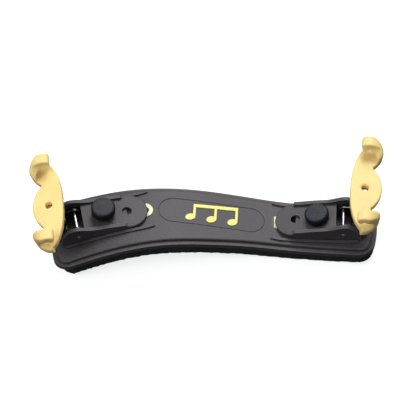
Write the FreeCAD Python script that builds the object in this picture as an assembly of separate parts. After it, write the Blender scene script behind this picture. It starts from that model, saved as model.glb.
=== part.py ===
"""Violin shoulder rest: a moulded S-shaped base with a sponge pad, and at each end a bolted
carrier, a folding leg and a height-adjustable fork covered in soft rubber.

Units are millimetres. X runs along the rest, +Y is the back (convex) edge, +Z is up towards the
violin. The origin is the bottom centre of the whole assembly in its opened position.
"""
import FreeCAD, Part
import math
import os

V = FreeCAD.Vector
os.makedirs("parts", exist_ok=True)

# ---------------------------------------------------------------- driving dimensions
# Base shell: height of the crowned top along X, then the raised top's back and front edges.
CROWN_LINE = [(-84, 9.0), (-60, 15.2), (-40, 18.3), (-20, 18.8), (0, 16.3),
              (20, 12.9), (40, 10.1), (60, 9.8), (92, 12.4)]
BACK_EDGE = [(-73.5, 11.2), (-60, 12.9), (-44, 14.6), (-24, 15.4), (-4, 15.6),
             (18, 14.6), (40, 12.8), (62, 11.0), (85, 9.5)]
FRONT_EDGE = [(83, -17.9), (66, -15.9), (46, -14.0), (24, -13.1), (4, -14.2),
              (-16, -16.0), (-36, -18.7), (-54, -22.2), (-75, -27.0)]
LEFT_TIP = (-78.4, -16.5)
RIGHT_TIP = (86.9, -4.5)
CORNER_RADIUS = 4.5
LIP_CORNER_RADIUS = 8.9
LIP_WIDTH = 2.3
LIP_STEP = 1.6
SHELL_THICKNESS = 4.2
CROWN_EDGE_RADIUS = 0.7

# Sponge pad glued under the shell.
PAD_THICKNESS = 6.5
PAD_INSET = 0.9
PAD_END_INSET = 3.2
PAD_CORNER_RADIUS = 8.5

# Low guide ribs that flank each carrier.
RIB_HEIGHT = 1.0
RIB_WIDTH = 1.4
RIB_GAP = 0.25
RIB_OVERRUN = 8.0
RIB_NOSE = 5.0
RIB_EDGE_GAP = 1.1

# Carrier, measured from the hinge pin: U runs inwards along it, W is its normal.
PIN_TO_KNOB = {"left": 14.5, "right": 13.2}
HOLE_PITCH = {"left": 12.4, "right": 11.7}
NUT_PITCH = {"left": 22.0, "right": 20.6}
CAP_OVERRUN = 0.6
CARRIER_HALF_WIDTH = 10.2
CARRIER_WALL = 2.0
FLOOR_TOP = 3.2
FLOOR_THICKNESS = 1.3
FLOOR_START = 3.4
WALL_OUTER_END = 9.0
WALL_RISE = 1.4
WALL_DIP = 1.5
WALL_END = {"left": 1.4, "right": -1.2}
BOSS_RISE = 2.5
SKIRT_GAP = 0.15
SEAT_GAP = 0.05
SPARE_HOLE_RADIUS = 2.6

# Where each carrier sits: pin centre, turn about Z (outer end forwards) and outer-end lift.
LEFT_PIN = V(-68.2, -5.0, 18.2)
RIGHT_PIN = V(71.4, -1.2, 15.4)
LEFT_YAW = 11.2
RIGHT_YAW = 3.0
LEFT_LIFT = 1.0
RIGHT_LIFT = 10.5

# Knurled nuts moulded into the base, two per end.
NUT_FLANGE_RADIUS = 4.3
NUT_FLANGE_THICKNESS = 1.0
NUT_BODY_RADIUS = 3.3
NUT_LENGTH = 3.4
NUT_SERRATIONS = 24
NUT_NOTCH_RADIUS = 0.42
FIT = 0.03
RUNNING_CLEARANCE = 0.05

# Thumb knob, its washer and its screw.
SCREW_RADIUS = 2.0
WASHER_RADIUS = 4.6
WASHER_THICKNESS = 0.6
KNOB_TOP_RADIUS = 6.5
KNOB_BASE_RADIUS = 6.2
KNOB_HEIGHT = 4.8
KNOB_DOME = 0.6
KNOB_EDGE_RADIUS = 1.6
KNOB_LIFT = {"left": 2.1, "right": 0.0}
KNOB_FLATS = 3
KNOB_FLAT_DEPTH = 0.3
KNOB_SCREW_DEPTH = 3.2

# Hinge pin and leg. The leg's own frame has its origin on the pin and Z along the post.
PIN_RADIUS = 0.75
LEG_LEAN = {"left": 14.0, "right": 12.2}
LEG_ARM = 8.8
LEG_HALF_WIDTH = 7.9
CHEEK_THICKNESS = 2.5
KNUCKLE_RADIUS = 3.1
LEG_BOTTOM = -2.7
LEG_TOP = 3.1
BOSS_RADIUS = 4.9
BOSS_TOP = 8.6
BUSH_RADIUS = 3.2
BUSH_FLANGE_RADIUS = 3.9
BUSH_FLANGE_THICKNESS = 0.8
POST_RADIUS = 2.2
POST_LENGTH = 20.0
POST_RECESS = 3.0
LEFT_FORK_HEIGHT = 21.0
RIGHT_FORK_HEIGHT = 28.7

# Fork: O runs outwards from the post, H up from the top face, Y along the fork.
FORK_THICKNESS = 3.5
FORK_TURN = 5.5
FORK_INNER_EDGE = [(0.6, 26.8), (-2.1, 25.1), (-4.3, 21.4), (-5.9, 16.8), (-7.2, 9.4), (-7.6, 0.0)]
FORK_BULGE = 8.6
FORK_NOTCH = (2.6, 13.7)
CLAW_LINE = [(-1.0, -1.75), (3.6, -1.7), (6.7, 0.2), (6.6, 3.3), (4.4, 6.0), (1.4, 7.3), (-1.8, 6.6)]
CLAW_THICKNESS = 3.5
CLAW_ROOT = (12.8, 28.6)
CLAW_TIP = (20.6, 27.0)
CLAW_LOBE = [(2.5, 13.0), (5.0, 14.8), (7.1, 17.2), (8.2, 19.8), (7.5, 22.6), (5.5, 25.1),
             (2.7, 27.1), (-0.6, 28.0)]
CORE_THICKNESS = 1.4
CORE_MARGIN = 1.1
CORE_REACH = -1.6
CORE_HUB_RADIUS = 3.6
CORE_HUB_DROP = 2.4
FORK_HOLE_RADIUS = 1.9
FORK_LINER_RADIUS = 2.7
SLIT_LENGTH = 4.6
SLIT_WIDTH = 1.3

# Decoration on the base: an engraved racetrack outline and a raised motif of two beamed notes.
TRACK_CENTRE = (2.5, 1.6)
TRACK_LENGTH = 56.0
TRACK_WIDTH = 15.6
TRACK_TURN = -3.0
GROOVE = 0.5
EMBLEM_RISE = 0.5
EMBLEM_SINK = 0.4
NOTE_PITCH = 11.0
NOTE_LEAN = 25.0
BEAM_HEIGHT = 4.6
BEAM_SLOPE = 0.06
BEAM_WIDTH = 2.0

FAR = 200.0


# ---------------------------------------------------------------- small helpers
def spline(points):
    curve = Part.BSplineCurve()
    curve.interpolate([V(*point) for point in points])
    return curve.toShape()


def polygon_face(points):
    return Part.Face(Part.makePolygon(points + [points[0]]))


def box(x0, x1, y0, y1, z0, z1):
    return Part.makeBox(x1 - x0, y1 - y0, z1 - z0, V(x0, y0, z0))


def disc(radius, z0, z1, x=0.0, y=0.0):
    return Part.makeCylinder(radius, z1 - z0, V(x, y, z0))


def one_solid(shape):
    """The single solid of a boolean result, without leftover seam edges."""
    clean = shape.removeSplitter()
    return max(clean.Solids, key=lambda s: s.Volume)


def crown_height(x):
    """Height of the crowned top above Z=0 of the design frame, at X."""
    edge = spline([(px, 0, pz) for px, pz in CROWN_LINE])
    low, high = edge.ParameterRange
    for _ in range(60):
        middle = (low + high) / 2
        if edge.valueAt(middle).x < x:
            low = middle
        else:
            high = middle
    return edge.valueAt((low + high) / 2).z


def crown_slab(bottom, top):
    """Everything between two vertical offsets of the crowned top."""
    upper = spline([(x, -FAR / 2, z + top) for x, z in CROWN_LINE])
    lower = spline([(x, -FAR / 2, z + bottom) for x, z in CROWN_LINE])
    left = Part.makeLine(lower.firstVertex().Point, upper.firstVertex().Point)
    right = Part.makeLine(lower.lastVertex().Point, upper.lastVertex().Point)
    wire = Part.Wire(Part.__sortEdges__([upper, right, lower, left]))
    return Part.Face(wire).extrude(V(0, FAR, 0))


# ---------------------------------------------------------------- base and pad
def grown_edge(points, grow):
    """A long edge moved sideways by grow, and lengthened by grow past both its ends."""
    curve = Part.BSplineCurve()
    curve.interpolate([V(x, y, 0) for x, y in points])
    moved = []
    for x, y in points:
        at = curve.parameter(V(x, y, 0))
        along = curve.tangent(at)[0]
        outward = V(-along.y, along.x, 0)
        shift = outward * grow
        if (x, y) == points[0]:
            shift = shift - along * grow
        if (x, y) == points[-1]:
            shift = shift + along * grow
        moved.append(V(x, y, 0) + shift)
    return moved


def base_outline(grow=0.0, corner=CORNER_RADIUS):
    """Plan of the raised top, or of a larger outline round it, with rounded corners."""
    back = grown_edge(BACK_EDGE, grow)
    front = grown_edge(FRONT_EDGE, grow)
    right_tip = V(RIGHT_TIP[0] + grow, RIGHT_TIP[1], 0)
    left_tip = V(LEFT_TIP[0] - grow, LEFT_TIP[1], 0)
    right_end = Part.Arc(back[-1], right_tip, front[0]).toShape()
    left_end = Part.Arc(front[-1], left_tip, back[0]).toShape()
    face = Part.Face(Part.Wire([spline(back), right_end, spline(front), left_end]))
    prism = face.extrude(V(0, 0, 10))
    upright = [e for e in prism.Edges if abs(e.tangentAt(e.FirstParameter).z) > 0.99]
    rounded = prism.makeFillet(corner, upright)
    return min(rounded.Faces, key=lambda f: f.CenterOfMass.z)


def plan_prism(face):
    prism = face.extrude(V(0, 0, FAR))
    prism.translate(V(0, 0, -FAR / 2))
    return prism


def inset_by(solid, distance):
    """The part of a solid that stays inside it when it is shifted each way in plan."""
    inner = solid
    for step in (V(distance, 0, 0), V(-distance, 0, 0), V(0, distance, 0), V(0, -distance, 0)):
        moved = solid.copy()
        moved.translate(step)
        inner = inner.common(moved)
    return one_solid(inner)


def make_shell():
    outline = base_outline()
    crown = plan_prism(outline).common(crown_slab(-SHELL_THICKNESS, 0))
    top_edges = [e for e in crown.Edges
                 if abs(e.CenterOfMass.z - crown_height(e.CenterOfMass.x)) < 0.6 and e.Length > 2]
    crown = crown.makeFillet(CROWN_EDGE_RADIUS, top_edges)
    lip_plan = plan_prism(base_outline(LIP_WIDTH, LIP_CORNER_RADIUS))
    lip = lip_plan.common(crown_slab(-SHELL_THICKNESS, -LIP_STEP))
    return one_solid(crown.fuse(lip))


def make_pad():
    outline = base_outline(LIP_WIDTH - PAD_INSET, PAD_CORNER_RADIUS)
    bottom = -SHELL_THICKNESS - PAD_THICKNESS
    plan = plan_prism(outline)
    shortened = plan.copy()
    shortened.translate(V(PAD_END_INSET, 0, 0))
    return one_solid(plan.common(shortened).common(crown_slab(bottom, -SHELL_THICKNESS)))


# ---------------------------------------------------------------- side frames
def carrier_frame(side):
    """Placement that carries the local carrier frame (U, V, W) to the assembly."""
    if side == "left":
        pin, turn, lift = LEFT_PIN, LEFT_YAW, LEFT_LIFT
    else:
        pin, turn, lift = RIGHT_PIN, 180 - RIGHT_YAW, RIGHT_LIFT
    upright = FreeCAD.Rotation(V(0, 0, 1), turn)
    tipped = FreeCAD.Rotation(V(0, 1, 0), lift)
    return FreeCAD.Placement(pin, upright.multiply(tipped))


def leg_frame(side):
    lean = FreeCAD.Placement(V(), FreeCAD.Rotation(V(0, 1, 0), -LEG_LEAN[side]))
    return carrier_frame(side).multiply(lean)


def fork_frame(side):
    """Fork frame: X outwards, Y along the fork, Z up the post, origin on the top face."""
    height = LEFT_FORK_HEIGHT if side == "left" else RIGHT_FORK_HEIGHT
    yaw = LEFT_YAW if side == "left" else -RIGHT_YAW
    skew = FORK_TURN if side == "left" else -FORK_TURN
    turn = FreeCAD.Rotation(V(0, 0, 1), 180 + skew - yaw)
    return leg_frame(side).multiply(FreeCAD.Placement(V(-LEG_ARM, 0, height), turn))


def placed(shape, frame):
    moved = shape.copy()
    moved.transformShape(frame.toMatrix(), False)
    return moved


# ---------------------------------------------------------------- carrier and clamp
def knob_at(side):
    return PIN_TO_KNOB[side]


def hole_at(side):
    return PIN_TO_KNOB[side] + HOLE_PITCH[side]


def shifted_along(frame, u):
    return frame.multiply(FreeCAD.Placement(V(u, 0, 0), FreeCAD.Rotation()))


def wall_profile(side):
    """Side view of a carrier wall in U and W, before the skirt is cut to the base."""
    inner = hole_at(side) - WALL_END[side]
    top = spline([(inner, 0, FLOOR_TOP + 0.3), (inner - 0.5, 0, FLOOR_TOP + 1.2),
                  (inner - 2.0, 0, FLOOR_TOP + WALL_RISE),
                  (knob_at(side), 0, FLOOR_TOP + WALL_DIP), (6.0, 0, FLOOR_TOP + WALL_DIP),
                  (1.5, 0, FLOOR_TOP + BOSS_RISE), (-3.5, 0, FLOOR_TOP + BOSS_RISE - 0.2),
                  (-WALL_OUTER_END + 1.5, 0, 1.8), (-WALL_OUTER_END, 0, -1.5)])
    ends = [top.firstVertex().Point, top.lastVertex().Point]
    under = [V(-WALL_OUTER_END, 0, -FAR / 4), V(inner, 0, -FAR / 4)]
    sides = Part.makePolygon([ends[1], under[0], under[1], ends[0]])
    return Part.Face(Part.Wire([top] + sides.Edges))


def make_carrier(side, under_skirt):
    cap = hole_at(side) + CAP_OVERRUN
    floor_bottom = FLOOR_TOP - FLOOR_THICKNESS
    half = CARRIER_HALF_WIDTH
    floor = box(FLOOR_START, cap, -half, half, floor_bottom, FLOOR_TOP)
    floor = floor.fuse(disc(half, floor_bottom, FLOOR_TOP, cap)).removeSplitter()
    rim = [e for e in floor.Edges
           if e.CenterOfMass.z > FLOOR_TOP - 0.01 and e.CenterOfMass.x > cap]
    floor = floor.makeFillet(0.6, rim)
    wall = wall_profile(side).extrude(V(0, CARRIER_WALL, 0))
    near = wall.copy()
    near.translate(V(0, -half, 0))
    wall.translate(V(0, half - CARRIER_WALL, 0))
    body = floor.fuse([near, wall])
    body = body.cut(disc(SCREW_RADIUS + 0.2, floor_bottom - 1, FLOOR_TOP + 1, knob_at(side)))
    body = body.cut(disc(SPARE_HOLE_RADIUS, floor_bottom - 1, FLOOR_TOP + 1, hole_at(side)))
    body = body.cut(Part.makeCylinder(PIN_RADIUS + FIT, 4 * half, V(0, -2 * half, 0), V(0, 1, 0)))
    return one_solid(placed(body, carrier_frame(side)).cut(under_skirt))


def seat_shape(side):
    """Flat land on the base that the carrier floor rests on."""
    top = FLOOR_TOP - FLOOR_THICKNESS - SEAT_GAP
    half = CARRIER_HALF_WIDTH - CARRIER_WALL - 0.4
    return box(knob_at(side) - 7.0, hole_at(side), -half, half, -FAR / 8, top)


def land_cutter(side):
    low = FLOOR_TOP - FLOOR_THICKNESS - SEAT_GAP
    half = CARRIER_HALF_WIDTH + 0.3
    cap = hole_at(side) + CAP_OVERRUN
    land = box(-WALL_OUTER_END - 1, cap, -half, half, low, FAR / 8)
    return land.fuse(disc(half, low, FAR / 8, cap))


def rib_shapes(side):
    """Two guide rib blanks beside a carrier, in the carrier frame."""
    start = -WALL_OUTER_END + 2.0
    end = hole_at(side) + RIB_OVERRUN
    inner = CARRIER_HALF_WIDTH + RIB_GAP
    ribs = []
    for sign in (-1, 1):
        y0, y1 = sorted((sign * inner, sign * (inner + RIB_WIDTH)))
        rib = box(start, end, y0, y1, -FAR / 8, FAR / 8)
        nose = polygon_face([V(end, y0, -FAR / 8), V(end + RIB_NOSE, (y0 + y1) / 2, -FAR / 8),
                             V(end, y1, -FAR / 8)]).extrude(V(0, 0, FAR / 4))
        ribs.append(one_solid(rib.fuse(nose)))
    return ribs


def nut_positions(side):
    return {"outer": knob_at(side), "inner": knob_at(side) + NUT_PITCH[side]}


def nut_blank(extra=0.0):
    top = FLOOR_TOP - FLOOR_THICKNESS - SEAT_GAP
    flange = disc(NUT_FLANGE_RADIUS + extra, top - NUT_FLANGE_THICKNESS - extra, top)
    body = disc(NUT_BODY_RADIUS + extra, top - NUT_LENGTH - extra, top)
    return flange.fuse(body)


def make_nut():
    top = FLOOR_TOP - FLOOR_THICKNESS - SEAT_GAP
    nut = nut_blank()
    step = 360.0 / NUT_SERRATIONS
    reach = NUT_FLANGE_RADIUS + NUT_NOTCH_RADIUS / 3
    for index in range(NUT_SERRATIONS):
        angle = math.radians(index * step)
        nut = nut.cut(disc(NUT_NOTCH_RADIUS, top - NUT_FLANGE_THICKNESS, top,
                           reach * math.cos(angle), reach * math.sin(angle)))
    nut = nut.cut(disc(SCREW_RADIUS + RUNNING_CLEARANCE, -FAR / 8, FAR / 8))
    return one_solid(nut)


def make_washer():
    ring = disc(WASHER_RADIUS, FLOOR_TOP, FLOOR_TOP + WASHER_THICKNESS)
    return one_solid(ring.cut(disc(SCREW_RADIUS + 0.1, 0, FAR / 8)))


def make_knob():
    low = FLOOR_TOP + WASHER_THICKNESS
    high = low + KNOB_HEIGHT
    knob = Part.makeCone(KNOB_BASE_RADIUS, KNOB_TOP_RADIUS, KNOB_HEIGHT, V(0, 0, low))
    ball = (KNOB_TOP_RADIUS ** 2 + KNOB_DOME ** 2) / (2 * KNOB_DOME)
    knob = knob.common(Part.makeSphere(ball, V(0, 0, high - ball)))
    rim = [e for e in knob.Edges if e.CenterOfMass.z > high - 1.5 and e.Length > KNOB_TOP_RADIUS]
    knob = knob.makeFillet(KNOB_EDGE_RADIUS, rim)
    flat = box(KNOB_TOP_RADIUS - KNOB_FLAT_DEPTH, KNOB_TOP_RADIUS + 2, -4, 4, low + 1.2, high + 1)
    for index in range(KNOB_FLATS):
        turned = flat.copy()
        turned.rotate(V(0, 0, 0), V(0, 0, 1), 360.0 * (index + 0.5) / KNOB_FLATS)
        knob = knob.cut(turned)
    knob = knob.cut(disc(SCREW_RADIUS + FIT, low - 1, low + KNOB_SCREW_DEPTH))
    return one_solid(knob)


def make_screw():
    low = FLOOR_TOP - FLOOR_THICKNESS - SEAT_GAP - NUT_LENGTH
    high = FLOOR_TOP + WASHER_THICKNESS + KNOB_SCREW_DEPTH - FIT
    screw = disc(SCREW_RADIUS, low, high)
    tip = [e for e in screw.Edges if abs(e.CenterOfMass.z - low) < 0.01]
    return one_solid(screw.makeChamfer(0.35, tip))


def make_hinge_pin():
    half = CARRIER_HALF_WIDTH
    pin = Part.makeCylinder(PIN_RADIUS, 2 * half + 0.2, V(0, -half - 0.1, 0), V(0, 1, 0))
    ends = [e for e in pin.Edges if abs(abs(e.CenterOfMass.y) - half - 0.1) < 0.01]
    return one_solid(pin.makeFillet(0.2, ends))


# ---------------------------------------------------------------- leg, bush and post
def leg_plan():
    """Plan of the leg's arm: two cheeks round the pin, a block and a rounded outer nose."""
    half = LEG_HALF_WIDTH
    gap = half - CHEEK_THICKNESS
    window_end = -LEG_ARM + BOSS_RADIUS - 0.9
    nose = -LEG_ARM - BOSS_RADIUS - 1.0
    arc = Part.Arc(V(-LEG_ARM, -half, 0), V(nose, 0, 0), V(-LEG_ARM, half, 0)).toShape()
    corners = [V(-LEG_ARM, half, 0), V(0, half, 0), V(0, gap, 0), V(window_end, gap, 0),
               V(window_end, -gap, 0), V(0, -gap, 0), V(0, -half, 0), V(-LEG_ARM, -half, 0)]
    return Part.Face(Part.Wire([arc] + Part.makePolygon(corners).Edges))


def make_leg():
    half = LEG_HALF_WIDTH
    leg = leg_plan().extrude(V(0, 0, LEG_TOP - LEG_BOTTOM))
    leg.translate(V(0, 0, LEG_BOTTOM))
    for y in (-half, half - CHEEK_THICKNESS):
        knuckle = Part.makeCylinder(KNUCKLE_RADIUS, CHEEK_THICKNESS, V(0, y, 0), V(0, 1, 0))
        leg = leg.fuse(knuckle)
    leg = leg.fuse(disc(BOSS_RADIUS, LEG_BOTTOM, BOSS_TOP, -LEG_ARM))
    flange_seat = BOSS_TOP - BUSH_FLANGE_THICKNESS - FIT
    leg = leg.cut(disc(BUSH_RADIUS + FIT, LEG_BOTTOM - 1, BOSS_TOP + 1, -LEG_ARM))
    leg = leg.cut(disc(BUSH_FLANGE_RADIUS + FIT, flange_seat, BOSS_TOP + 1, -LEG_ARM))
    leg = leg.cut(Part.makeCylinder(PIN_RADIUS + RUNNING_CLEARANCE, 4 * half,
                                    V(0, -2 * half, 0), V(0, 1, 0)))
    return one_solid(leg)


def make_bush():
    top = BOSS_TOP
    bush = disc(BUSH_RADIUS, LEG_BOTTOM, top)
    bush = bush.fuse(disc(BUSH_FLANGE_RADIUS, top - BUSH_FLANGE_THICKNESS, top))
    bush = bush.cut(disc(POST_RADIUS + RUNNING_CLEARANCE, LEG_BOTTOM - 1, top + 1))
    bush.translate(V(-LEG_ARM, 0, 0))
    return one_solid(bush)


def make_post():
    """Threaded post in the fork frame: its top shows in the fork's hole."""
    low = -FORK_THICKNESS - POST_LENGTH
    shoulder = -FORK_THICKNESS - CORE_HUB_DROP
    post = disc(POST_RADIUS, low, shoulder)
    post = post.makeChamfer(0.5, [e for e in post.Edges if abs(e.CenterOfMass.z - low) < 0.01])
    neck = disc(FORK_HOLE_RADIUS - 0.3, shoulder, -POST_RECESS)
    return one_solid(post.fuse(neck))


# ---------------------------------------------------------------- fork
def fork_plan():
    """Plan outline of the flat part of the fork."""
    half = [(o, y) for o, y in FORK_INNER_EDGE]
    mirrored = [(o, -y) for o, y in reversed(half[:-1])]
    inner = spline([(o, y, 0) for o, y in half + mirrored])
    notch_o, notch_y = FORK_NOTCH
    end = V(*FORK_INNER_EDGE[0], 0)
    far_end = V(end.x, -end.y, 0)
    bulge = Part.Arc(V(notch_o, -notch_y, 0), V(FORK_BULGE, 0, 0), V(notch_o, notch_y, 0)).toShape()
    corner = V(FORK_NOTCH[0] + 0.6, end.y - 0.8, 0)
    far_corner = V(corner.x, -corner.y, 0)
    lines = [Part.makeLine(V(notch_o, notch_y, 0), corner), Part.makeLine(corner, end),
             Part.makeLine(far_end, far_corner), Part.makeLine(far_corner, V(notch_o, -notch_y, 0))]
    return Part.Face(Part.Wire(Part.__sortEdges__([inner, bulge] + lines)))


def claw_side(thickness, reach=0.0):
    """Side view of a claw in O and H: a strip of even thickness with a round tip."""
    points = list(CLAW_LINE)
    (x0, z0), (x1, z1) = points[-2:]
    length = math.hypot(x1 - x0, z1 - z0)
    points[-1] = (x1 + reach * (x1 - x0) / length, z1 + reach * (z1 - z0) / length)
    centre = spline([(x, 0, z) for x, z in points])
    low, high = centre.ParameterRange
    left, right = [], []
    count = 14
    for index in range(count + 1):
        at = low + (high - low) * index / count
        here = centre.valueAt(at)
        along = centre.tangentAt(at)
        across = V(along.z, 0, -along.x) * (thickness / 2)
        left.append(here - across)
        right.append(here + across)
    tip = here + along * (thickness / 2)
    outer = Part.BSplineCurve()
    outer.interpolate(right)
    inner = Part.BSplineCurve()
    inner.interpolate(left)
    cap = Part.Arc(right[-1], tip, left[-1]).toShape()
    foot = Part.makeLine(left[0], right[0])
    wire = Part.Wire(Part.__sortEdges__([outer.toShape(), cap, inner.toShape(), foot]))
    return Part.Face(wire)


def claw_lobe():
    """Plan of the rounded lobe that a claw is bent up from."""
    rim = spline([(o, y, 0) for o, y in CLAW_LOBE])
    start, end = V(*CLAW_LOBE[0], 0), V(*CLAW_LOBE[-1], 0)
    back = [end, V(-8, end.y, 0), V(-8, start.y, 0), start]
    return Part.Face(Part.Wire([rim] + Part.makePolygon(back).Edges))


def claw(thickness, reach=0.0, inset=0.0):
    """One claw on the +Y side: a bent lobe that narrows towards its tip."""
    strip = claw_side(thickness, reach).extrude(V(0, 40, 0))
    low, high = CLAW_TIP
    root_low, root_high = CLAW_ROOT
    tip_h = CLAW_LINE[-1][1]
    trim = polygon_face([V(-20, root_low + inset, -6), V(-20, root_low + inset, 0),
                         V(-20, low + inset, tip_h), V(-20, low + inset, 20),
                         V(-20, high - inset, 20), V(-20, high - inset, tip_h),
                         V(-20, root_high - inset, 0), V(-20, root_high - inset, -6)])
    narrowed = strip.common(trim.extrude(V(40, 0, 0)))
    return one_solid(narrowed.common(plan_prism(claw_lobe())))


def mirrored_pair(shape):
    return [shape, shape.mirror(V(0, 0, 0), V(0, 1, 0))]


def make_fork_blank():
    plate = fork_plan().extrude(V(0, 0, -FORK_THICKNESS))
    blank = plate.fuse(mirrored_pair(claw(CLAW_THICKNESS)))
    return one_solid(blank)


def make_core():
    """Stiff black core: a thin plate with a hub, and a strip up the middle of each claw."""
    low = -FORK_THICKNESS / 2 - CORE_THICKNESS / 2
    plate = inset_by(fork_plan().extrude(V(0, 0, CORE_THICKNESS)), CORE_MARGIN)
    plate.translate(V(0, 0, low))
    strips = mirrored_pair(inset_by(claw(CORE_THICKNESS, CORE_REACH, CORE_MARGIN), CORE_MARGIN / 2))
    hub = disc(CORE_HUB_RADIUS, -FORK_THICKNESS - CORE_HUB_DROP, low + CORE_THICKNESS)
    core = plate.fuse(strips + [hub])
    core = core.cut(disc(FORK_LINER_RADIUS, -FORK_THICKNESS, FAR / 8))
    return one_solid(core.cut(disc(FORK_HOLE_RADIUS, -FAR / 8, FAR / 8)))


def make_cover(core):
    cover = make_fork_blank().cut(core)
    cover = cover.cut(disc(FORK_HOLE_RADIUS, -FAR / 8, FAR / 8))
    slit_y = (CLAW_ROOT[0] + CLAW_ROOT[1]) / 2
    slit = box(6.6, 12, -SLIT_LENGTH / 2, SLIT_LENGTH / 2, -SLIT_WIDTH / 2, SLIT_WIDTH / 2)
    slit.translate(V(0, slit_y, 0.4))
    return one_solid(cover.cut(mirrored_pair(slit)))


# ---------------------------------------------------------------- decoration
def track_plan(length, width):
    radius = width / 2
    half = length / 2 - radius
    bar = box(-half, half, -radius, radius, -FAR / 2, FAR / 2)
    ends = [disc(radius, -FAR / 2, FAR / 2, -half), disc(radius, -FAR / 2, FAR / 2, half)]
    return bar.fuse(ends).removeSplitter()


def turned_to_track(shape):
    moved = shape.copy()
    moved.rotate(V(0, 0, 0), V(0, 0, 1), TRACK_TURN)
    moved.translate(V(TRACK_CENTRE[0], TRACK_CENTRE[1], 0))
    return moved


def track_groove():
    ring = track_plan(TRACK_LENGTH, TRACK_WIDTH)
    ring = ring.cut(track_plan(TRACK_LENGTH - 2 * GROOVE, TRACK_WIDTH - 2 * GROOVE))
    return turned_to_track(ring).common(crown_slab(-0.3, 1.0))


def note_plan(x):
    """A slanted oval note head with its stem, reaching up to the beam."""
    head = Part.Face(Part.Wire(Part.Ellipse(V(0, 0, 0), 2.7, 1.9).toShape()))
    head.rotate(V(0, 0, 0), V(0, 0, 1), NOTE_LEAN)
    head.translate(V(x, -3.4, 0))
    left, right = x + 1.3, x + 2.6
    stem = polygon_face([V(left, -3.2, 0), V(right, -3.2, 0), V(right, beam_middle(right), 0),
                         V(left, beam_middle(left), 0)])
    return [head, stem]


def beam_middle(x):
    return BEAM_HEIGHT + BEAM_SLOPE * x


def make_emblem():
    """Three beamed notes, still as a tall prism."""
    left, right = -NOTE_PITCH + 1.3, NOTE_PITCH + 2.6
    half = BEAM_WIDTH / 2
    beam = polygon_face([V(left, beam_middle(left) - half, 0), V(right, beam_middle(right) - half, 0),
                         V(right, beam_middle(right) + half, 0), V(left, beam_middle(left) + half, 0)])
    faces = [beam]
    for x in (-NOTE_PITCH, 0.0, NOTE_PITCH):
        faces += note_plan(x)
    prisms = [turned_to_track(plan_prism(face)) for face in faces]
    return one_solid(prisms[0].fuse(prisms[1:]))


# ---------------------------------------------------------------- assembly
def make_assembly():
    shapes = {}
    shell = make_shell()
    top_plan = plan_prism(base_outline())
    rib_zone = crown_slab(-1.0, RIB_HEIGHT).common(inset_by(top_plan, RIB_EDGE_GAP))
    seat_zone = crown_slab(-SHELL_THICKNESS + 1.0, 30.0).common(top_plan)
    for side in ("left", "right"):
        frame = carrier_frame(side)
        shell = shell.fuse(placed(seat_shape(side), frame).common(seat_zone))
        for rib in rib_shapes(side):
            shell = shell.fuse(placed(rib, frame).common(rib_zone))
        shell = shell.cut(placed(land_cutter(side), frame))
        for name, u in nut_positions(side).items():
            place = shifted_along(frame, u)
            shell = shell.cut(placed(nut_blank(FIT), place))
            shapes[side + "_" + name + "_nut"] = placed(make_nut(), place)
    emblem_blank = make_emblem()
    groove = track_groove()
    pocket = emblem_blank.common(crown_slab(-EMBLEM_SINK, 2.0))
    shell = one_solid(shell.cut(groove).cut(pocket))
    shapes["base_shell"] = shell
    shapes["foam_pad"] = make_pad()
    shapes["emblem"] = one_solid(emblem_blank.common(crown_slab(-EMBLEM_SINK, EMBLEM_RISE)))
    under_skirt = crown_slab(-FAR / 4, SKIRT_GAP)
    core = make_core()
    cover = make_cover(core)
    for side in ("left", "right"):
        frame = carrier_frame(side)
        lifted = FreeCAD.Placement(V(0, 0, KNOB_LIFT[side]), FreeCAD.Rotation())
        clamp = shifted_along(frame, knob_at(side)).multiply(lifted)
        leg = leg_frame(side)
        fork = fork_frame(side)
        shapes[side + "_carrier"] = make_carrier(side, under_skirt)
        shapes[side + "_washer"] = placed(make_washer(), clamp)
        shapes[side + "_knob"] = placed(make_knob(), clamp)
        shapes[side + "_screw"] = placed(make_screw(), clamp)
        shapes[side + "_hinge_pin"] = placed(make_hinge_pin(), frame)
        shapes[side + "_leg"] = placed(make_leg(), leg)
        shapes[side + "_bush"] = placed(make_bush(), leg)
        shapes[side + "_post"] = placed(make_post(), fork)
        shapes[side + "_fork_core"] = placed(core, fork)
        shapes[side + "_fork_cover"] = placed(cover, fork)
    return shapes


def origin_shift(shapes):
    whole = Part.makeCompound(list(shapes.values())).optimalBoundingBox(False)
    return V(-(whole.XMin + whole.XMax) / 2, -(whole.YMin + whole.YMax) / 2, -whole.ZMin)


parts = make_assembly()
shift = origin_shift(parts)
for node, shape in parts.items():
    shape.translate(shift)
    shape.exportStep("parts/" + node + ".step")
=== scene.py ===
"""Looks of the violin shoulder rest: its materials, its sponge pad, the light and the camera."""
import math

import bpy
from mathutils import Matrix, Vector, noise


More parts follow.
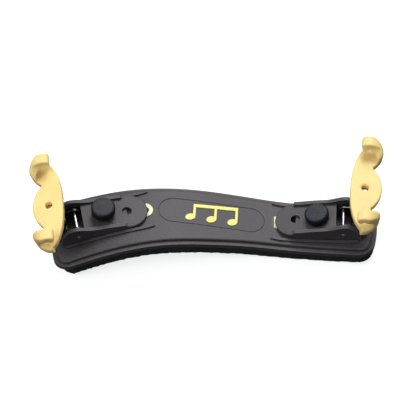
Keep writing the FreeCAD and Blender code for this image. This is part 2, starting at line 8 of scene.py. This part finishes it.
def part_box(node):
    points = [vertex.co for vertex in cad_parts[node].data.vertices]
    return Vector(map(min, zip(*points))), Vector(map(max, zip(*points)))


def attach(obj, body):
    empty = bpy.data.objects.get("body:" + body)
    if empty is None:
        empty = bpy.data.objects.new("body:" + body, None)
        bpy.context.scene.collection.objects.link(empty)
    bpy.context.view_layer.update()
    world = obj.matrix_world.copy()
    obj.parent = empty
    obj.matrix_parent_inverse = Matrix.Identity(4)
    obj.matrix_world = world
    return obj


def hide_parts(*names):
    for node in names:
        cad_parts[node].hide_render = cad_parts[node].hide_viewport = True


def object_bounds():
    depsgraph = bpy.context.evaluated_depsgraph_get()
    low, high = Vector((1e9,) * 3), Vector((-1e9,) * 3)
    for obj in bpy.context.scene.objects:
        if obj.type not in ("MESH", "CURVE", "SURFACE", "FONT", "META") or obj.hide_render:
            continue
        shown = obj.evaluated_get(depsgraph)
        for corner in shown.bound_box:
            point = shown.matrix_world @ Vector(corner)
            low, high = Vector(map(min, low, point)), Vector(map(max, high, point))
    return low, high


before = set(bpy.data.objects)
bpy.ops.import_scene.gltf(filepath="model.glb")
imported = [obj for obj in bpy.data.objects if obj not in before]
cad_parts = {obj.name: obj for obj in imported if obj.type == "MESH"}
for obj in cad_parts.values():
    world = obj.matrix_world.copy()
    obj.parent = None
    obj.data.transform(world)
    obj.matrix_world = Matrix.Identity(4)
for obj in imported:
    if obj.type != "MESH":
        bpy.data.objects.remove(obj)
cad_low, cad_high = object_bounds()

MM = 0.001
SIDES = ("left", "right")

# Camera: what it looks at, from how high, how far and how long a lens.
CAMERA_TARGET = Vector((2.0, 10.5, 15.1)) * MM
CAMERA_ELEVATION = math.radians(53.5)
CAMERA_DISTANCE = 1.0
CAMERA_LENS = 162.86
CAMERA_SENSOR = 36.0

# Studio light: a large soft key behind and above, a weaker fill from the front left, and a sky.
KEY_PLACE = Vector((0.12, 0.56, 0.86))
KEY_SIZE = 0.6
KEY_POWER = 7.6
FILL_PLACE = Vector((-0.65, -0.3, 0.75))
FILL_SIZE = 0.7
FILL_POWER = 4.6
SKY_TOP = (0.62, 0.64, 0.68, 1.0)
SKY_BELOW = (0.05, 0.05, 0.055, 1.0)
SKY_RISE = 0.42

# Floor: how wide it is, how wide its faint clouds are, and how much it glows.
FLOOR_SIZE = 6.0
FLOOR_CLOUD = 0.2
FLOOR_GLOW = 0.78

# Fork rubber: how finely its skin is divided, how many times it is smoothed, and its unevenness.
FORK_VOXEL = 0.45 * MM
FORK_ROUNDING = 12
FORK_BLOOM_LENGTH = 9.0 * MM
FORK_BLOOM = 0.1 * MM

# Sponge pad: how finely its skin is divided, how deep its shapes go, and how full it is.
PAD_VOXEL = 0.7 * MM
PAD_ROUNDING = 4
PAD_SWELL = 0.35 * MM
PAD_WAVE_LENGTH = 17.0 * MM
PAD_WAVE = 0.16 * MM
PAD_DIMPLE_LENGTH = 3.4 * MM
PAD_DIMPLE = 0.09 * MM
PAD_PORE_LENGTH = 1.3 * MM
PAD_PORE = 0.09 * MM


class Surface:
    """One procedural material: a Principled shader, and calls that put nodes in front of it."""

    def __init__(self, name, **values):
        self.material = bpy.data.materials.new(name)
        self.material.use_nodes = True
        self.tree = self.material.node_tree
        self.shader = self.tree.nodes["Principled BSDF"]
        self.place = self.node("ShaderNodeTexCoord").outputs["Object"]
        for name, value in values.items():
            self.shader.inputs[name.replace("_", " ").title().replace("Ior", "IOR")].default_value = value

    def node(self, kind, **settings):
        """A new node with these settings."""
        made = self.tree.nodes.new(kind)
        for name, value in settings.items():
            setattr(made, name, value)
        return made

    def feed(self, socket, value):
        """Gives a socket a number or colour, or links it to another node's output."""
        if isinstance(value, bpy.types.NodeSocket):
            self.tree.links.new(value, socket)
        else:
            socket.default_value = value

    def math(self, operation, first, second=0.0):
        made = self.node("ShaderNodeMath", operation=operation, use_clamp=True)
        self.feed(made.inputs[0], first)
        self.feed(made.inputs[1], second)
        return made.outputs[0]

    def stretched(self, scale):
        """Object coordinates, stretched along each axis."""
        made = self.node("ShaderNodeMapping")
        self.feed(made.inputs["Vector"], self.place)
        made.inputs["Scale"].default_value = scale
        return made.outputs[0]

    def grain(self, length, detail=3.0, roughness=0.5, place=None):
        """Noise whose lumps are about this long, from 0 to 1."""
        made = self.node("ShaderNodeTexNoise")
        self.feed(made.inputs["Vector"], place or self.place)
        made.inputs["Scale"].default_value = 1.0 / length
        made.inputs["Detail"].default_value = detail
        made.inputs["Roughness"].default_value = roughness
        return made.outputs[0]

    def cells(self, length):
        """Distance to the nearest cell's middle, for cells about this wide."""
        made = self.node("ShaderNodeTexVoronoi")
        self.feed(made.inputs["Vector"], self.place)
        made.inputs["Scale"].default_value = 1.0 / length
        return made.outputs["Distance"]

    def between(self, value, low, high, to_low=0.0, to_high=1.0):
        """Stretches the stretch from low to high over to_low to to_high, smoothly."""
        made = self.node("ShaderNodeMapRange", interpolation_type="SMOOTHSTEP")
        self.feed(made.inputs["Value"], value)
        for name, number in (("From Min", low), ("From Max", high), ("To Min", to_low), ("To Max", to_high)):
            made.inputs[name].default_value = number
        return made.outputs[0]

    def mix(self, share, first, second):
        """A colour between two colours."""
        made = self.node("ShaderNodeMix", data_type="RGBA")
        self.feed(made.inputs["Factor"], share)
        self.feed(made.inputs[6], first)
        self.feed(made.inputs[7], second)
        return made.outputs[2]

    def outer_edges(self, width):
        """1 on outer edges, falling to 0 on the flats."""
        made = self.node("ShaderNodeAmbientOcclusion", samples=8, inside=True, only_local=True)
        made.inputs["Distance"].default_value = width
        return self.between(made.outputs["AO"], 0.98, 0.62)

    def hollows(self, width):
        """1 deep in corners and grooves, falling to 0 in the open."""
        made = self.node("ShaderNodeAmbientOcclusion", samples=8, only_local=True)
        made.inputs["Distance"].default_value = width
        return self.between(made.outputs["AO"], 0.95, 0.45)

    def normal_along(self, axis, low, high):
        """1 where the surface faces along an axis at rest, 0 elsewhere."""
        made = self.node("ShaderNodeVectorMath", operation="DOT_PRODUCT")
        self.feed(made.inputs[0], self.node("ShaderNodeTexCoord").outputs["Normal"])
        made.inputs[1].default_value = axis
        return self.between(made.outputs["Value"], low, high)

    def relief(self, edge_radius, *layers):
        """Rounds the edges in the shading, then raises each (height, depth) layer on top."""
        rounded = self.node("ShaderNodeBevel", samples=6)
        rounded.inputs["Radius"].default_value = edge_radius
        normal = rounded.outputs[0]
        for height, depth in layers:
            made = self.node("ShaderNodeBump")
            made.inputs["Distance"].default_value = depth
            self.feed(made.inputs["Height"], height)
            self.feed(made.inputs["Normal"], normal)
            normal = made.outputs[0]
        self.feed(self.shader.inputs["Normal"], normal)

    def colour(self, value):
        self.feed(self.shader.inputs["Base Color"], value)

    def roughness(self, value):
        self.feed(self.shader.inputs["Roughness"], value)


def rgb(red, green, blue):
    return (red, green, blue, 1.0)


# ---------------------------------------------------------------- materials
def moulded_nylon():
    """Matte grey moulded nylon: speckled, and a little paler where edges are rubbed."""
    s = Surface("moulded_nylon", specular_ior_level=0.36)
    speckle = s.grain(0.8 * MM, detail=4.0, roughness=0.75)
    cloud = s.grain(24.0 * MM, detail=2.0)
    base = s.mix(s.between(speckle, 0.3, 0.7), rgb(0.036, 0.0318, 0.0328), rgb(0.070, 0.0636, 0.0665))
    base = s.mix(s.between(cloud, 0.35, 0.7, 0.0, 0.22), base, rgb(0.042, 0.037, 0.037))
    # Painted brown shade: the colour darkens in hollows and grooves, where shade falls.
    base = s.mix(s.math("MULTIPLY", s.hollows(3.0 * MM), 0.45), base, rgb(0.022, 0.017, 0.015))
    rubbed = s.math("MULTIPLY", s.outer_edges(0.5 * MM), s.between(cloud, 0.3, 0.65, 0.35, 0.8))
    s.colour(s.mix(rubbed, base, rgb(0.115, 0.108, 0.112)))
    s.roughness(s.between(speckle, 0.25, 0.75, 0.44, 0.56))
    s.relief(0.3 * MM, (s.grain(0.35 * MM, 3.0), 0.03 * MM), (speckle, 0.045 * MM))
    return s.material


def sponge_rubber():
    """Near-black closed-cell sponge: small round cells with thin walls, dusty in patches."""
    s = Surface("sponge_rubber", specular_ior_level=0.25)
    cell = s.cells(0.7 * MM)
    pore = s.between(cell, 0.1, 0.6)
    cloud = s.grain(9.0 * MM, detail=4.0)
    base = s.mix(pore, rgb(0.006, 0.0065, 0.006), rgb(0.024, 0.026, 0.024))
    s.colour(s.mix(s.between(cloud, 0.4, 0.75, 0.0, 0.5), base, rgb(0.036, 0.037, 0.034)))
    s.roughness(s.between(cloud, 0.3, 0.7, 0.82, 0.96))
    s.relief(0.5 * MM, (s.grain(2.2 * MM, 3.0), 0.12 * MM), (pore, 0.14 * MM))
    return s.material


def yellow_print():
    """Satin yellow moulding, with painted shade darkening it at its foot."""
    s = Surface("yellow_print", specular_ior_level=0.4)
    mottle = s.grain(1.6 * MM, detail=3.0)
    base = s.mix(s.between(mottle, 0.3, 0.7), rgb(0.72, 0.64, 0.13), rgb(0.80, 0.72, 0.19))
    # Painted shade: the colour darkens in the hollows round its foot.
    s.colour(s.mix(s.math("MULTIPLY", s.hollows(0.8 * MM), 0.5), base, rgb(0.30, 0.24, 0.05)))
    s.roughness(s.between(mottle, 0.3, 0.7, 0.32, 0.48))
    s.relief(0.12 * MM, (mottle, 0.015 * MM))
    return s.material


def ivory_plastic():
    """Pale cream hard plastic of the threaded inserts, with painted brown shade in its serrations."""
    s = Surface("ivory_plastic", specular_ior_level=0.45)
    mottle = s.grain(1.2 * MM, detail=4.0)
    base = s.mix(s.between(mottle, 0.3, 0.7), rgb(0.7, 0.62, 0.38), rgb(0.8, 0.74, 0.5))
    # Painted shade: the colour darkens to brown in the serrations and hollows.
    s.colour(s.mix(s.hollows(0.7 * MM), base, rgb(0.36, 0.27, 0.13)))
    s.roughness(s.between(mottle, 0.3, 0.7, 0.34, 0.5))
    s.relief(0.1 * MM, (mottle, 0.012 * MM))
    return s.material


def bright_steel(name, long_axis):
    """Bright drawn steel: fine lines along the rod, and faint darker spots."""
    s = Surface(name, metallic=0.9)
    across = [1.0, 1.0, 1.0]
    across[long_axis] = 0.04
    lines = s.grain(0.12 * MM, 2.0, 0.6, s.stretched(across))
    spots = s.grain(1.5 * MM, 4.0)
    s.colour(s.mix(s.between(spots, 0.45, 0.75), rgb(0.66, 0.66, 0.67), rgb(0.47, 0.46, 0.45)))
    s.roughness(s.between(lines, 0.3, 0.7, 0.16, 0.34))
    s.relief(0.1 * MM, (lines, 0.004 * MM))
    return s.material


def bush_brass():
    """Turned brass, dulled in patches."""
    s = Surface("bush_brass", metallic=1.0)
    dull = s.grain(1.4 * MM, 4.0)
    s.colour(s.mix(s.between(dull, 0.35, 0.7), rgb(0.72, 0.5, 0.19), rgb(0.42, 0.26, 0.09)))
    s.roughness(s.between(dull, 0.3, 0.7, 0.2, 0.42))
    s.relief(0.12 * MM, (s.grain(0.2 * MM, 2.0), 0.006 * MM))
    return s.material


def gloss_black():
    """Glossy black moulding with a soft orange-peel skin and hairline scratches."""
    s = Surface("gloss_black", specular_ior_level=0.5)
    peel = s.grain(1.8 * MM, 2.0)
    hairline = s.grain(0.25 * MM, 2.0, 0.5, s.stretched((1.0, 0.06, 0.5)))
    scratch = s.between(hairline, 0.64, 0.7)
    worn = s.outer_edges(0.35 * MM)
    s.colour(s.mix(worn, rgb(0.006, 0.006, 0.0065), rgb(0.035, 0.035, 0.036)))
    s.roughness(s.math("ADD", s.math("MULTIPLY", scratch, 0.2), s.between(peel, 0.3, 0.7, 0.12, 0.2)))
    s.relief(0.3 * MM, (peel, 0.03 * MM), (hairline, 0.004 * MM))
    return s.material


def core_black():
    """Plain black stiffener inside the fork."""
    s = Surface("core_black")
    grain = s.grain(0.8 * MM, 4.0)
    s.colour(s.mix(s.between(grain, 0.3, 0.7), rgb(0.012, 0.012, 0.012), rgb(0.03, 0.029, 0.028)))
    s.roughness(s.between(grain, 0.3, 0.7, 0.5, 0.7))
    s.relief(0.15 * MM, (grain, 0.02 * MM))
    return s.material


def fork_rubber():
    """Soft cream rubber: a faint bloom, light that sinks in a little, and a warm painted shade deep in its
    hollows.
    """
    s = Surface("fork_rubber", specular_ior_level=0.3, subsurface_weight=0.35, subsurface_scale=2.2 * MM)
    s.shader.inputs["Subsurface Radius"].default_value = (1.0, 0.6, 0.22)
    bloom = s.grain(11.0 * MM, 4.0, 0.6)
    skin = s.grain(0.5 * MM, 3.0, 0.6)
    base = s.mix(s.between(bloom, 0.35, 0.7), rgb(0.80, 0.60, 0.235), rgb(0.83, 0.64, 0.26))
    # Painted shade: the colour turns a deeper warm orange deep in hollows, where shade falls.
    s.colour(s.mix(s.math("MULTIPLY", s.hollows(5.0 * MM), 0.55), base, rgb(0.90, 0.60, 0.19)))
    s.roughness(s.between(skin, 0.3, 0.7, 0.42, 0.58))
    s.relief(0.6 * MM, (bloom, 0.12 * MM), (skin, 0.012 * MM))
    return s.material


def knob_rubber(name, axis):
    """Blue-black rubber, rough: its upper face painted lighter, partly a painted reflection of the light
    above and partly grey scuffing; its side painted darker as shade.
    """
    s = Surface(name, specular_ior_level=0.3)
    crumb = s.grain(0.85 * MM, 5.0, 0.75)
    scuff = s.grain(3.0 * MM, 4.0, 0.6)
    # Mask for the upper face, where a lighter colour is painted: partly a painted reflection of the light
    # above, partly grey scuffing.
    lit_top_mask = s.normal_along(axis, 0.72, 0.98)
    # Painted shade: the side gets a darker copy of the rubber's colour.
    side = s.mix(s.between(crumb, 0.3, 0.7), rgb(0.003, 0.0032, 0.0036), rgb(0.007, 0.0073, 0.0084))
    # Painted reflection with real scuffing: the upper face gets a lighter grey-blue colour, scuffed in
    # patches.
    face = s.mix(s.between(crumb, 0.35, 0.65), rgb(0.006, 0.0068, 0.009), rgb(0.036, 0.039, 0.048))
    face = s.mix(s.between(scuff, 0.4, 0.7, 0.0, 0.5), face, rgb(0.04, 0.0425, 0.05))
    s.colour(s.mix(lit_top_mask, side, face))
    s.roughness(s.between(crumb, 0.3, 0.7, 0.5, 0.72))
    s.relief(0.3 * MM, (scuff, 0.09 * MM), (crumb, 0.12 * MM))
    return s.material


def pale_floor():
    """White studio sheet that glows a little, so that only a faint shadow shows on it."""
    s = Surface("pale_floor", specular_ior_level=0.0, emission_strength=FLOOR_GLOW)
    cloud = s.grain(FLOOR_CLOUD, 3.0)
    s.colour(s.mix(s.between(cloud, 0.3, 0.7), rgb(0.36, 0.36, 0.36), rgb(0.38, 0.38, 0.378)))
    s.shader.inputs["Emission Color"].default_value = rgb(1.0, 1.0, 1.0)
    s.roughness(0.8)
    return s.material


def paint(node, material):
    """Puts a material on every slot of a carried-over node."""
    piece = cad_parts[node]
    if not piece.material_slots:
        piece.data.materials.append(material)
    for place in piece.material_slots:
        place.material = material


def knob_axis(side):
    """The way a knob faces: from the middle of its screw to the middle of its own box."""
    low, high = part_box(f"{side}_screw")
    knob_low, knob_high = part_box(f"{side}_knob")
    return ((knob_low + knob_high) - (low + high)).normalized()


def paint_nodes():
    """Gives every CAD node that is shown its material."""
    nylon, ivory, yellow = moulded_nylon(), ivory_plastic(), yellow_print()
    black, brass, core = gloss_black(), bush_brass(), core_black()
    pin_steel, rod_steel = bright_steel("pin_steel", 1), bright_steel("rod_steel", 2)
    paint("base_shell", nylon)
    paint("emblem", yellow)
    for side in SIDES:
        paint(f"{side}_carrier", nylon)
        paint(f"{side}_outer_nut", ivory)
        paint(f"{side}_inner_nut", ivory)
        paint(f"{side}_leg", black)
        paint(f"{side}_bush", brass)
        paint(f"{side}_fork_core", core)
        paint(f"{side}_hinge_pin", pin_steel)
        for rod in ("post", "screw", "washer"):
            paint(f"{side}_{rod}", rod_steel)
        paint(f"{side}_knob", knob_rubber(f"{side}_knob_rubber", knob_axis(side)))


# ---------------------------------------------------------------- sponge pad
def remeshed(source, name, voxel, rounding):
    """A new object with the source's shape on an even skin of small faces, its edges rounded."""
    piece = bpy.data.objects.new(name, source.data.copy())
    bpy.context.scene.collection.objects.link(piece)
    cut = piece.modifiers.new("even_skin", "REMESH")
    cut.mode = "VOXEL"
    cut.voxel_size = voxel
    ease = piece.modifiers.new("soft_edges", "SMOOTH")
    ease.factor = 0.5
    ease.iterations = rounding
    shown = piece.evaluated_get(bpy.context.evaluated_depsgraph_get())
    piece.data = bpy.data.meshes.new_from_object(shown)
    piece.modifiers.clear()
    return piece


def settle(piece, shift_at, material):
    """Moves each point of a piece by its own small shift, then smooths and paints the piece."""
    mesh = piece.data
    shifts = [shift_at(v.co, v.normal) * v.normal for v in mesh.vertices]
    for vertex, shift in zip(mesh.vertices, shifts):
        vertex.co += shift
    for face in mesh.polygons:
        face.use_smooth = True
    mesh.materials.clear()
    mesh.materials.append(material)


def pad_shift(point, normal):
    """How far the sponge stands out from its plain shape at a point, along its normal."""
    side = 1.0 - abs(normal.z)
    under = max(0.0, -normal.z)
    wave = noise.noise(point / PAD_WAVE_LENGTH) * PAD_WAVE
    dimple = noise.noise(point / PAD_DIMPLE_LENGTH) * PAD_DIMPLE
    pore = -abs(noise.noise(point / PAD_PORE_LENGTH)) * PAD_PORE
    return side * PAD_SWELL + (side + under) * (wave + dimple + pore)


def make_pad():
    """The sponge strip, in place of its plain CAD solid."""
    pad = remeshed(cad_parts["foam_pad"], "sponge_pad", PAD_VOXEL, PAD_ROUNDING)
    settle(pad, pad_shift, sponge_rubber())
    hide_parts("foam_pad")
    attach(pad, "base")


# ---------------------------------------------------------------- fork rubber
def fork_shift(point, normal):
    """Faint unevenness of the moulded rubber."""
    return noise.noise(point / FORK_BLOOM_LENGTH) * FORK_BLOOM


def make_fork_rubber(side, rubber):
    """The soft cover of one fork, in place of its plain CAD solid."""
    node = f"{side}_fork_cover"
    cover = remeshed(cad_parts[node], f"{side}_soft_cover", FORK_VOXEL, FORK_ROUNDING)
    settle(cover, fork_shift, rubber)
    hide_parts(node)
    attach(cover, f"{side}_fork")


# ---------------------------------------------------------------- stage, light and camera
def make_floor():
    """A floor that takes the shadow but sends no light back up at the object."""
    bpy.ops.mesh.primitive_plane_add(size=FLOOR_SIZE, location=(0.0, 0.0, cad_low.z))
    floor = bpy.context.object
    floor.name = "floor"
    floor.data.materials.append(pale_floor())
    floor.visible_diffuse = False
    floor.visible_glossy = False


def aim(thing, target):
    """Turns a light or camera to face a point."""
    thing.rotation_mode = "QUATERNION"
    thing.rotation_quaternion = (target - thing.location).to_track_quat("-Z", "Y")


def area_light(name, place, size, power, colour=(1.0, 1.0, 1.0)):
    lamp = bpy.data.lights.new(name, "AREA")
    lamp.shape = "DISK"
    lamp.size = size
    lamp.energy = power
    lamp.color = colour
    holder = bpy.data.objects.new(name, lamp)
    holder.location = place
    aim(holder, CAMERA_TARGET)
    bpy.context.scene.collection.objects.link(holder)


def make_sky():
    """Soft surround: bright overhead, dim at the horizon and nearly dark below."""
    world = bpy.data.worlds.new("studio")
    world.use_nodes = True
    nodes, links = world.node_tree.nodes, world.node_tree.links
    place = nodes.new("ShaderNodeTexCoord")
    split = nodes.new("ShaderNodeSeparateXYZ")
    ramp = nodes.new("ShaderNodeValToRGB")
    links.new(place.outputs["Generated"], split.inputs[0])
    lift = nodes.new("ShaderNodeMapRange")
    lift.inputs["From Min"].default_value = -1.0
    links.new(split.outputs["Z"], lift.inputs["Value"])
    links.new(lift.outputs[0], ramp.inputs[0])
    ramp.color_ramp.elements[0].position = SKY_RISE
    ramp.color_ramp.elements[0].color = SKY_BELOW
    ramp.color_ramp.elements[1].position = 1.0
    ramp.color_ramp.elements[1].color = SKY_TOP
    links.new(ramp.outputs[0], nodes["Background"].inputs["Color"])
    bpy.context.scene.world = world


def make_light():
    area_light("key_light", KEY_PLACE, KEY_SIZE, KEY_POWER)
    area_light("fill_light", FILL_PLACE, FILL_SIZE, FILL_POWER)
    make_sky()
    bpy.context.scene.view_settings.view_transform = "Standard"


def make_camera():
    camera = bpy.data.objects.new("camera", bpy.data.cameras.new("camera"))
    camera.data.lens = CAMERA_LENS
    camera.data.sensor_width = CAMERA_SENSOR
    back = Vector((0.0, -math.cos(CAMERA_ELEVATION), math.sin(CAMERA_ELEVATION)))
    camera.location = CAMERA_TARGET + back * CAMERA_DISTANCE
    aim(camera, CAMERA_TARGET)
    bpy.context.scene.collection.objects.link(camera)
    bpy.context.scene.camera = camera


paint_nodes()
make_pad()
rubber = fork_rubber()
for side in SIDES:
    make_fork_rubber(side, rubber)
make_floor()
make_light()
make_camera()
